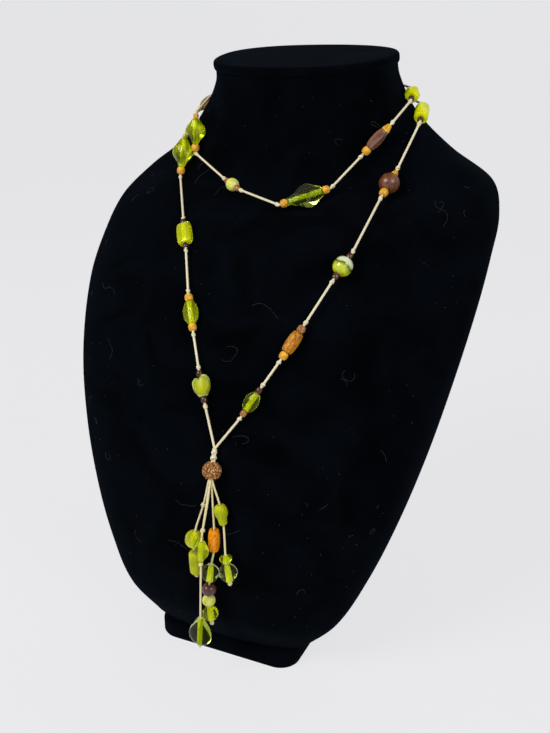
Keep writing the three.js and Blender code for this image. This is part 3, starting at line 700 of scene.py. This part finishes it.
def bump(material, shader, source, strength, distance):
    node = add_node(material, "ShaderNodeBump", Strength=strength, Distance=distance)
    link(material, source, node.inputs["Height"])
    link(material, node.outputs["Normal"], shader.inputs["Normal"])


def grey(material, source, low, high):
    """The value moved into a range, as a colour."""
    return ramp(material, source, [(0.3, (low,) * 3), (0.7, (high,) * 3)])


def own_axis(material, axis):
    """Distance along one of the piece's own axes."""
    split = add_node(material, "ShaderNodeSeparateXYZ")
    link(material, place_coordinates(material, (1, 1, 1)), split.inputs["Vector"])
    return split.outputs[axis]


def drifting(material, source, scale, amount):
    """The value with soft noise added to it."""
    node = add_node(material, "ShaderNodeMath", operation="MULTIPLY_ADD")
    link(material, noise(material, scale, detail=1.0), node.inputs[0])
    node.inputs[1].default_value = amount
    link(material, source, node.inputs[2])
    return node.outputs["Value"]


def between(material, source, low, high):
    """Where the value lies between two limits, as 0 to 1."""
    node = add_node(material, "ShaderNodeMapRange", **{"From Min": low, "From Max": high})
    link(material, source, node.inputs["Value"])
    return node.outputs["Result"]


def hazy_glass(name, haze, **values):
    """Glass in which light scatters; haze is how much of it does."""
    return new_material(name, Subsurface_Weight=haze, Subsurface_Scale=0.002,
                        Subsurface_Radius=GLASS_SCATTER, **values)


def uneven_glass(material, shader):
    """The barely uneven surface of pressed glass."""
    bump(material, shader, noise(material, 0.22, detail=0.0), 0.12, 0.0002)


def glass_look(name, dark, light, transmission, roughness=0.04, haze=0.0, ior=1.45, streak=1.0):
    """Coloured glass, a little deeper in tone here and there, with a barely uneven surface.

    streak draws the tones out along the bead into narrower, stronger stripes.
    """
    material, shader = hazy_glass(name, haze, Transmission_Weight=transmission, IOR=ior,
                                  Specular_Tint=(0.80, 0.85, 0.35, 1))
    tones = noise(material, 0.16 * streak, (1, 1, 1 / streak ** 2), detail=1.0)
    spread = 0.2 / streak
    colour_along(material, shader, tones, [(0.5 - spread, dark), (0.5 + spread, light)])
    link(material, grey(material, noise(material, 0.6), roughness, roughness * 1.6),
         shader.inputs["Roughness"])
    uneven_glass(material, shader)
    return material


def heart_look():
    """Frosted glass with a painted rim light: paler at the rim and most of all in the low lobe."""
    rim_light_scale = (0.20, 0, 0.18)
    rim_light_shift = (0.16, 0, 0)
    material, shader = hazy_glass("glass_heart", 0.6, Transmission_Weight=0.35, IOR=1.35, Roughness=0.3)
    reach = add_node(material, "ShaderNodeVectorMath", operation="LENGTH")
    link(material, place_coordinates(material, rim_light_scale, rim_light_shift), reach.inputs[0])
    drift = drifting(material, reach.outputs["Value"], 0.3, 0.2)
    # Colour by distance from the middle, darker towards the rim; the pale last stop at the rim is a painted
    # rim light.
    colour_along(material, shader, drift, [
        (0.30, (0.62, 0.65, 0.004)), (0.68, (0.54, 0.57, 0.004)), (0.90, (0.40, 0.44, 0.016)),
        (1.0, (0.70, 0.77, 0.24))])
    return material


def two_tone_look(name, ior):
    """Clear glass on one side of the cord and deep green on the other."""
    material, shader = new_material(name, Transmission_Weight=0.97, IOR=ior, Roughness=0.02,
                                    Specular_Tint=(0.80, 0.85, 0.45, 1))
    side = between(material, own_axis(material, "X"), -1.5, 2.5)
    colour_along(material, shader, side, [
        (0.0, (0.58, 0.64, 0.44)), (0.4, (0.50, 0.57, 0.24)), (0.7, (0.17, 0.24, 0.006)),
        (1.0, (0.26, 0.34, 0.012))])
    uneven_glass(material, shader)
    return material


def core_with_painted_glow():
    """Frosted yellow-green glass with a painted glow: it emits its own colour in place of light coming
    through the bead round it.
    """
    # Painted light: the emission makes the core glow, though no lamp lights it through the glass.
    material, shader = new_material("glass_core_painted_glow", Roughness=0.5, Emission_Strength=0.3,
                                    Specular_IOR_Level=0.1)
    tones = noise(material, 0.7, (1, 1, 0.3), detail=2.0)
    colour = ramp(material, tones, [(0.3, (0.52, 0.58, 0.002)), (0.7, (0.74, 0.78, 0.006))])
    link(material, colour, shader.inputs["Base Color"])
    link(material, colour, shader.inputs["Emission Color"])
    return material


def wood_look(name, dark, light, roughness, coat=0.0, grain=0.9, stretch=0.12, knobby=0.25, sheen=0.18):
    """Turned wood with its grain along the bead; sheen is how far the lacquer's highlight spreads."""
    material, shader = new_material(name, Coat_Weight=coat, Coat_Roughness=sheen, Specular_IOR_Level=0.2)
    lines = noise(material, grain, (1, 1, stretch), detail=6.0, distortion=0.6)
    colour_along(material, shader, lines, [(0.32, dark), (0.62, light)])
    link(material, grey(material, lines, roughness * 1.15, roughness * 0.85), shader.inputs["Roughness"])
    bump(material, shader, lines, knobby, 0.0001)
    return material


def swirl_look():
    """Milk-white glass that turns green across a dark green band."""
    material, shader = hazy_glass("glass_swirl", 0.4, Transmission_Weight=0.12, IOR=1.5, Roughness=0.1,
                                  Coat_Weight=0.4, Coat_Roughness=0.05)
    drift = drifting(material, own_axis(material, "Z"), 0.14, 5.0)
    colour_along(material, shader, between(material, drift, -2.1, 7.1), [
        (0.0, (0.78, 0.82, 0.62)), (0.34, (0.72, 0.76, 0.52)), (0.42, (0.50, 0.57, 0.14)),
        (0.48, (0.10, 0.15, 0.006)), (0.54, (0.12, 0.17, 0.006)), (0.60, (0.36, 0.42, 0.008)),
        (0.78, (0.66, 0.72, 0.020)), (1.0, (0.44, 0.50, 0.012))])
    return material


def sandy_look():
    """Rough pressed wood with dark and light specks."""
    material, shader = new_material("wood_sandy", Roughness=0.85)
    grains = noise(material, 1.2, detail=6.0)
    colour_along(material, shader, grains, [
        (0.34, (0.035, 0.010, 0.002)), (0.45, (0.16, 0.055, 0.008)), (0.56, (0.36, 0.155, 0.030)),
        (0.68, (0.74, 0.44, 0.17))])
    bump(material, shader, grains, 0.7, 0.0003)
    return material


def cord_look(name, dark, light):
    """Waxed twisted cotton: slightly glossy, darker in the grooves of the twist."""
    material, shader = new_material(name, Roughness=0.55, Sheen_Weight=0.15, Sheen_Roughness=0.4,
                                    Coat_Weight=0.12, Coat_Roughness=0.35)
    fibres = noise(material, 3.0, (1, 1, 1), detail=5.0)
    colour_along(material, shader, fibres, [(0.3, dark), (0.62, light)])
    bump(material, shader, fibres, 0.4, 0.00008)
    return material


def velvet_look():
    """Near-black navy flock: it scatters a little light at its edges and hides its pile."""
    material, shader = new_material("velvet", Roughness=0.95, Specular_IOR_Level=0.0, Sheen_Weight=0.018,
                                    Sheen_Roughness=0.5, Sheen_Tint=(0.45, 0.62, 0.85, 1))
    brushing = noise(material, 0.035, detail=4.0, distortion=0.8)
    pile = noise(material, 1.6, detail=3.0)
    mix = add_node(material, "ShaderNodeMix", data_type="RGBA", blend_type="MULTIPLY")
    mix.inputs["Factor"].default_value = 0.6
    patches = ramp(material, brushing, [(0.35, (0.0006, 0.0009, 0.0014)), (0.7, (0.0016, 0.0025, 0.0042))])
    link(material, patches, mix.inputs["A"])
    link(material, grey(material, pile, 0.6, 1.0), mix.inputs["B"])
    link(material, mix.outputs["Result"], shader.inputs["Base Color"])
    bump(material, shader, pile, 0.35, 0.0002)
    return material


LOOKS = {
    "lime": glass_look("glass_lime", (.70, .76, .002), (.98, 1.0, .008), .35, haze=.5, ior=1.35,
                       streak=1.4),
    "pale_lime": glass_look("glass_pale_lime", (.70, .75, .006), (.86, .90, .020), .6, haze=.5,
                            ior=1.38),
    "green": glass_look("glass_green", (.54, .61, .006), (.74, .80, .014), .84, haze=.5, ior=1.33),
    "striped_green": glass_look("glass_striped_green", (.14, .19, .001), (.84, .92, .016), .8,
                                haze=.4, ior=1.38, streak=1.8),
    "hazy_green": glass_look("glass_hazy_green", (.66, .71, .004), (.94, .98, .030), .6,
                             haze=.6, ior=1.4, streak=1.3),
    "dark_green": glass_look("glass_dark_green", (.44, .50, .02), (.60, .66, .05), .94, ior=1.35),
    "satin_green": glass_look("glass_satin_green", (.42, .46, .003), (.64, .67, .010), .3,
                              roughness=.3, haze=.6, ior=1.35),
    "clear_green": glass_look("glass_clear_green", (.50, .56, .006), (.72, .78, .02), .92, haze=.15,
                              ior=1.38),
    "clear": glass_look("glass_clear", (.56, .64, .20), (.72, .80, .40), .98, roughness=.02,
                        ior=1.33),
    "milky": glass_look("glass_milky", (.62, .65, .11), (.78, .80, .26), .1, roughness=.25,
                        haze=.6, ior=1.35),
    "cream": glass_look("glass_cream", (.66, .67, .10), (.86, .87, .32), .15, roughness=.15,
                        haze=.6, ior=1.4),
    "heart": heart_look(),
    "two_tone": two_tone_look("glass_two_tone", 1.28),
    "two_tone_drop": two_tone_look("glass_two_tone_drop", 1.16),
    "core": core_with_painted_glow(),
    "swirl": swirl_look(),
    # The plum wood's pale streaks are partly its grain and partly painted glints along the barrel.
    "plum_wood": wood_look("wood_plum_grain_and_painted_glints", (.018, .005, .003), (.24, .100, .060), .3, coat=1.0,
                           grain=.5, stretch=.1, sheen=.12),
    "pale_wood": wood_look("wood_pale", (.20, .11, .035), (.48, .33, .13), .35, coat=.3),
    "red_wood": wood_look("wood_red", (.024, .006, .002), (.19, .050, .010), .35, coat=1.0,
                          grain=.7, stretch=.3, knobby=.5, sheen=.34),
    "purple": wood_look("glaze_purple", (.040, .011, .008), (.14, .050, .036), .22, coat=.6,
                        grain=.5),
    "orange_wood": wood_look("wood_orange", (.44, .17, .006), (.84, .46, .040), .5, coat=.1,
                             grain=1.0, stretch=.6),
    "tube_wood": wood_look("wood_tube", (.16, .045, .001), (.60, .24, .012), .5, coat=.1,
                           grain=1.2, stretch=.6),
    "bright_wood": wood_look("wood_bright", (.46, .13, .001), (.92, .31, .002), .45, coat=.1,
                             grain=1.1, stretch=.5),
    "brown_wood": wood_look("wood_brown", (.18, .062, .014), (.44, .20, .065), .35, coat=.2),
    "dark_glaze": wood_look("glaze_dark", (.010, .004, .002), (.080, .030, .016), .2, coat=.5,
                            sheen=.06),
    "red_glaze": wood_look("glaze_red", (.03, .007, .003), (.12, .030, .014), .15, coat=1.0,
                           sheen=.06),
    "sandy_wood": sandy_look(),
    "waxed_cord": cord_look("cord_waxed", (.57, .49, .28), (.81, .73, .50)),
    "tassel_cord": cord_look("cord_tassel", (.56, .46, .20), (.83, .73, .42)),
    "velvet": velvet_look(),
    "lint": new_material("lint", Base_Color=(.042, .047, .056, 1), Roughness=.9)[0],
}
SLOTS = {entry["node"]: entry["material_slot"] for entry in frame["record"]["subparts"]}


# Stand

BUST_COLUMNS = 200
BUST_ROWS = 220
CAP_STEPS = 12
# Swell of the cap's rim and its tuck at the seams: amount and power
CAP_BULGE = (0.6, 0.7)
CAP_TUCK = (0.4, 6)
CAP_INSETS = (4, 9, 16, 26)
# Edge of the plinth: heights and insets
PLINTH_EDGE = (
    (0.0, 1.2), (0.35, 0.4), (1.2, 0.0), (7.6, 0.0), (8.6, 0.25), (9.4, 0.85), (9.85, 1.8), (10.0, 3.2),
)
CORNER_STEPS = 12


def bust_ring(share, outset=0.0):
    section = bust_section(share)
    return [bust_point(share, 360 * j / BUST_COLUMNS, outset, section) for j in range(BUST_COLUMNS)]


def in_velvet(name, rings, crease=50):
    shape = Shape()
    shape.add_rings(rings)
    return shape.make(name, LOOKS["velvet"], "velvet", crease)


def make_bust():
    bottom = SEAM_GAP / BODY_HEIGHT
    top = 1 - (CAP_THICKNESS + SEAM_GAP) / BODY_HEIGHT
    rings = [bust_ring(bottom + (top - bottom) * i / BUST_ROWS) for i in range(BUST_ROWS + 1)]
    return in_velvet("bust_velvet", rings)


def make_cap():
    """A padded disc with a rolled rim over a seam."""
    rings = []
    for i in range(CAP_STEPS + 1):
        s = math.pi * i / CAP_STEPS
        at = 0.5 - 0.5 * math.cos(s)
        out = CAP_BULGE[0] * math.sin(s) ** CAP_BULGE[1]
        out -= CAP_TUCK[0] * abs(math.cos(s)) ** CAP_TUCK[1]
        rings.append(bust_ring(1 - CAP_THICKNESS / BODY_HEIGHT * (1 - at), CAP_EDGE * out))
    rings += [bust_ring(1, -inset) for inset in CAP_INSETS]
    return in_velvet("cap_velvet", rings, crease=60)


def make_plinth():
    """The foot, covered in the same cloth."""
    rings = []
    for z, inset in PLINTH_EDGE:
        corner = PLINTH["corner"] - inset
        ring = []
        for sx, sy, start in ((1, 1, 0), (-1, 1, 90), (-1, -1, 180), (1, -1, 270)):
            side = PLINTH["right" if sx > 0 else "left"] - inset - corner
            deep = PLINTH["back" if sy > 0 else "front"] - inset - corner
            for k in range(CORNER_STEPS + 1):
                angle = math.radians(start + 90 * k / CORNER_STEPS)
                ring.append(Vector((sx * side + corner * math.cos(angle),
                                    sy * deep + corner * math.sin(angle), z)))
        rings.append(ring)
    return in_velvet("plinth_velvet", rings)


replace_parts(make_bust(), "bust_body")
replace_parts(make_cap(), "neck_cap")
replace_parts(make_plinth(), "plinth")


LINT_SEED = 7
LINT_HAIRS = 38
LINT_SPECKS = 160
LINT_RADIUS = 0.04
LINT_STAND = 0.25
# Where lint lies, in height shares and turns, and one step along a hair
HAIR_AREA = ((0.12, 0.9), (205, 335))
SPECK_AREA = ((0.05, 0.95), (200, 340))
HAIR_STEP = (0.0028, 0.75)
HAIR_POINTS = (4, 16)
HAIR_CURL = 0.6
HAIR_WANDER = 0.5
SPECK_REACH = 0.3
SPECK_RADIUS = 0.064


def make_lint():
    """Short hairs and specks of dust caught in the velvet's pile."""
    rng = random.Random(LINT_SEED)
    shape = Shape()
    for _ in range(LINT_HAIRS):
        share, turn = [rng.uniform(*limits) for limits in HAIR_AREA]
        way = rng.uniform(0, 2 * math.pi)
        curl = rng.uniform(-HAIR_CURL, HAIR_CURL)
        line = []
        for _ in range(rng.randint(*HAIR_POINTS)):
            line.append(bust_point(share, turn, LINT_STAND))
            way += curl + rng.uniform(-HAIR_WANDER, HAIR_WANDER)
            share += HAIR_STEP[0] * math.sin(way)
            turn += HAIR_STEP[1] * math.cos(way)
        cord_sweep(shape, line, LINT_RADIUS, depth=0, sides=4)
    for _ in range(LINT_SPECKS):
        place = bust_point(*[rng.uniform(*limits) for limits in SPECK_AREA], LINT_STAND)
        drift = Vector([rng.uniform(-SPECK_REACH, SPECK_REACH) for _ in range(3)])
        cord_sweep(shape, [place - drift, place, place + drift], SPECK_RADIUS, depth=0, sides=5)
    return shape.make("velvet_lint", LOOKS["lint"], "velvet")


make_lint()


# The necklace

cores = Shape()


def dress_bead(row, centre, along, outward):
    piece = fine_bead(row, centre, along, outward).make(
        row["name"] + "_fine", LOOKS[row["look"]], SLOTS[row["name"]],
        crease=FACETED_CREASE if row["form"] == "barrel" else BEAD_CREASE)
    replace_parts(piece, row["name"])
    if row["look"] in CORE_LOOKS:
        # The frosted wall of the cord's hole, set into the glass, which shows as a bright rod; its glow is
        # painted light
        reach = row["long"] / 2 - CORE_INSET
        walls = [(-reach, CORE_RADIUS), (0, CORE_RADIUS), (reach, CORE_RADIUS), (reach, CORE_BORE),
                 (-reach, CORE_BORE)]
        cores.add_rings([circle(radius, z, CORE_SIDES) for z, radius in walls], looped=True,
                        turn=placed(centre, along, outward))


knot_top = hanging_point({"x": KNOT_PLACE[0], "z": KNOT_PLACE[1]}, WRAP_RADIUS)
pendant_centre = hanging_point(PENDANT, PENDANT["thick"] / 2)
hang = (pendant_centre - knot_top).normalized()
wrap_end = pendant_centre - hang * (PENDANT["long"] / 2 + TOUCH_GAP)
head_start = pendant_centre + hang * (PENDANT["long"] / 2 - HEAD_LENGTH)
head_end = head_start + hang * (HEAD_LENGTH + TOUCH_GAP)
front = Vector((0, -1, 0))

string = Shape()
spacers = {}
route = [knot_top]
start, via = knot_top, ()
deep = round(LOOP_KNOT[1] / 2 / CORD_STEP)
seats = [seat_bead(row) for row in LOOP_BEADS]
for index, seat in enumerate(seats + [None]):
    end = seat["start"] if seat else knot_top
    stretch = smooth_path(taut_stretch(start, via, end), CORD_STEP)
    route += stretch[1:]
    if index > 0:
        tie_knot(string, stretch[deep], stretch[deep + 1] - stretch[deep - 1], LOOP_KNOT, index)
    if seat is None:
        break
    tie_knot(string, stretch[-1 - deep], stretch[-deep] - stretch[-2 - deep], LOOP_KNOT, 2 * index)
    route += smooth_path([seat["start"], seat["end"]], CORD_STEP)[1:]
    row = seat["row"]
    dress_bead(row, seat["centre"], seat["along"], seat["facing"])
    for side, (size, kind) in zip((-1, 1), row["spacers"]):
        bead_end = seat["centre"] + seat["along"] * side * row["long"] / 2
        shape = spacers.setdefault(SPACERS[kind][1:], Shape())
        add_spacer(shape, bead_end, -seat["along"] * side, size, kind)
    start, via = seat["end"], row["via"]
cord_sweep(string, route, CORD_RADIUS)

# The knot that closes the string: both cords side by side, bound twice
for offset in (-PAIR_OFFSET, PAIR_OFFSET):
    pair = [knot_top.lerp(pendant_centre, t) + Vector((offset, 0, 0))
            for t in np.linspace(0, 1, PAIR_POINTS)]
    cord_sweep(string, pair, CORD_RADIUS)
reach = (wrap_end - knot_top).length
for place, wide, long, wire, turns, phase in CLOSING_WRAPS:
    size = (WRAP_RADIUS * wide, reach * long, wire)
    tie_knot(string, knot_top.lerp(wrap_end, place), hang, size, phase, turns)
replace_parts(string.make("necklace_string", LOOKS["waxed_cord"], "waxed_cord"), "loop_cord")
for (look, slot), shape in spacers.items():
    shape.make("spacers_" + look, LOOKS[look], slot, crease=BEAD_CREASE)

dress_bead(PENDANT, pendant_centre, hang, front)

# The tassel
strings = Shape()
for rows, offset in zip(TASSEL, STRAND_OFFSETS):
    places = [hanging_point(row, row["thick"] / 2 if "name" in row else TASSEL_KNOT) for row in rows]
    points = [head_start + Vector((offset * HEAD_DRAW, 0, 0)), head_end + Vector((offset, STRAND_FRONT, 0))]
    for i, (row, place) in enumerate(zip(rows, places)):
        before = places[i - 1] if i else head_end
        after = places[i + 1] if i + 1 < len(places) else place * 2 - before
        along = (after - before).normalized()
        if "name" not in row:
            points += [place - along * STRAND_KNOT[1], place, place + along * STRAND_KNOT[1]]
            tie_knot(strings, place, along, STRAND_KNOT, i + offset)
            continue
        half = row["long"] / 2 + TOUCH_GAP / 2
        points += [place - along * half, place + along * half]
        dress_bead(row, place, along, front)
        if row.get("knotted") or i + 1 == len(rows):
            tie_knot(strings, place + along * (half + KNOT_DROP), along, END_KNOT, i - offset)
        if i + 1 == len(rows):
            points.append(place + along * (half + TAIL_DROP))
    cord_sweep(strings, smooth_path(points, CORD_STEP), TASSEL_RADIUS, pitch=TASSEL_PITCH)
    if "name" not in rows[0]:
        followed = (points[0], points[1], points[1].lerp(points[2], 0.5))
        doubled = [point + Vector(shift) for point, shift in zip(followed, DOUBLED_SHIFTS)]
        doubled.append(points[3])
        cord_sweep(strings, smooth_path(doubled, CORD_STEP), TASSEL_RADIUS, pitch=TASSEL_PITCH)
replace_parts(strings.make("tassel_strings", LOOKS["tassel_cord"], "tassel_cord"), "tassel_cords")
cores.make("bead_cores", LOOKS["core"], "olive_glass", crease=CORE_CREASE)


# Stage, lights and camera

# Metres
FLOOR_HALF = 4.0
FLOOR_FRONT = -3.0
FLOOR_BACK = 1.2
FLOOR_CURVE = 1.0
WALL_TOP = 4.0
LIGHT_TARGET = (0, 0, 0.15)


def make_floor():
    """A pale sweep: floor, curve and wall in one."""
    profile = [(FLOOR_FRONT, 0.0), (FLOOR_BACK, 0.0)]
    profile += [(FLOOR_BACK + FLOOR_CURVE * math.sin(a), FLOOR_CURVE * (1 - math.cos(a)))
                for a in np.linspace(0.1, math.pi / 2, 16)]
    profile.append((FLOOR_BACK + FLOOR_CURVE, WALL_TOP))
    mesh = bpy.data.meshes.new("floor")
    points = [(x, y, z) for y, z in profile for x in (-FLOOR_HALF, FLOOR_HALF)]
    faces = [(2 * i, 2 * i + 1, 2 * i + 3, 2 * i + 2) for i in range(len(profile) - 1)]
    mesh.from_pydata(points, [], faces)
    mesh.polygons.foreach_set("use_smooth", [True] * len(mesh.polygons))
    material, _ = new_material("floor_pale", Base_Color=(0.10, 0.10, 0.10, 1), Roughness=1.0,
                               Specular_IOR_Level=0.0, Emission_Color=(1.0, 1.0, 1.02, 1),
                               Emission_Strength=0.72)
    mesh.materials.append(material)
    floor = bpy.data.objects.new("floor", mesh)
    bpy.context.scene.collection.objects.link(floor)


def area_light(name, place, size, power):
    data = bpy.data.lights.new(name, "AREA")
    data.size = size
    data.energy = power
    light = bpy.data.objects.new(name, data)
    light.location = place
    light.rotation_euler = (Vector(LIGHT_TARGET) - Vector(place)).to_track_quat("-Z", "Y").to_euler()
    bpy.context.scene.collection.objects.link(light)


make_floor()
area_light("key", place=(-0.6, -1.05, 1.1), size=0.7, power=17)
area_light("fill", place=(1.2, -0.5, 0.9), size=0.8, power=8)
world = bpy.data.worlds.new("studio")
world.use_nodes = True
background = world.node_tree.nodes["Background"]
background.inputs["Color"].default_value = (0.93, 0.95, 1.0, 1)
background.inputs["Strength"].default_value = 0.33
scene = bpy.context.scene
scene.world = world
scene.view_settings.view_transform = "Standard"

camera_data = bpy.data.cameras.new("camera")
camera_data.lens = CAMERA_LENS
camera = bpy.data.objects.new("camera", camera_data)
camera.location = Vector(CAMERA_PLACE) * MM
camera.rotation_euler = Euler((math.radians(90 - CAMERA_ELEVATION), 0, math.radians(CAMERA_AZIMUTH)))
scene.collection.objects.link(camera)
scene.camera = camera
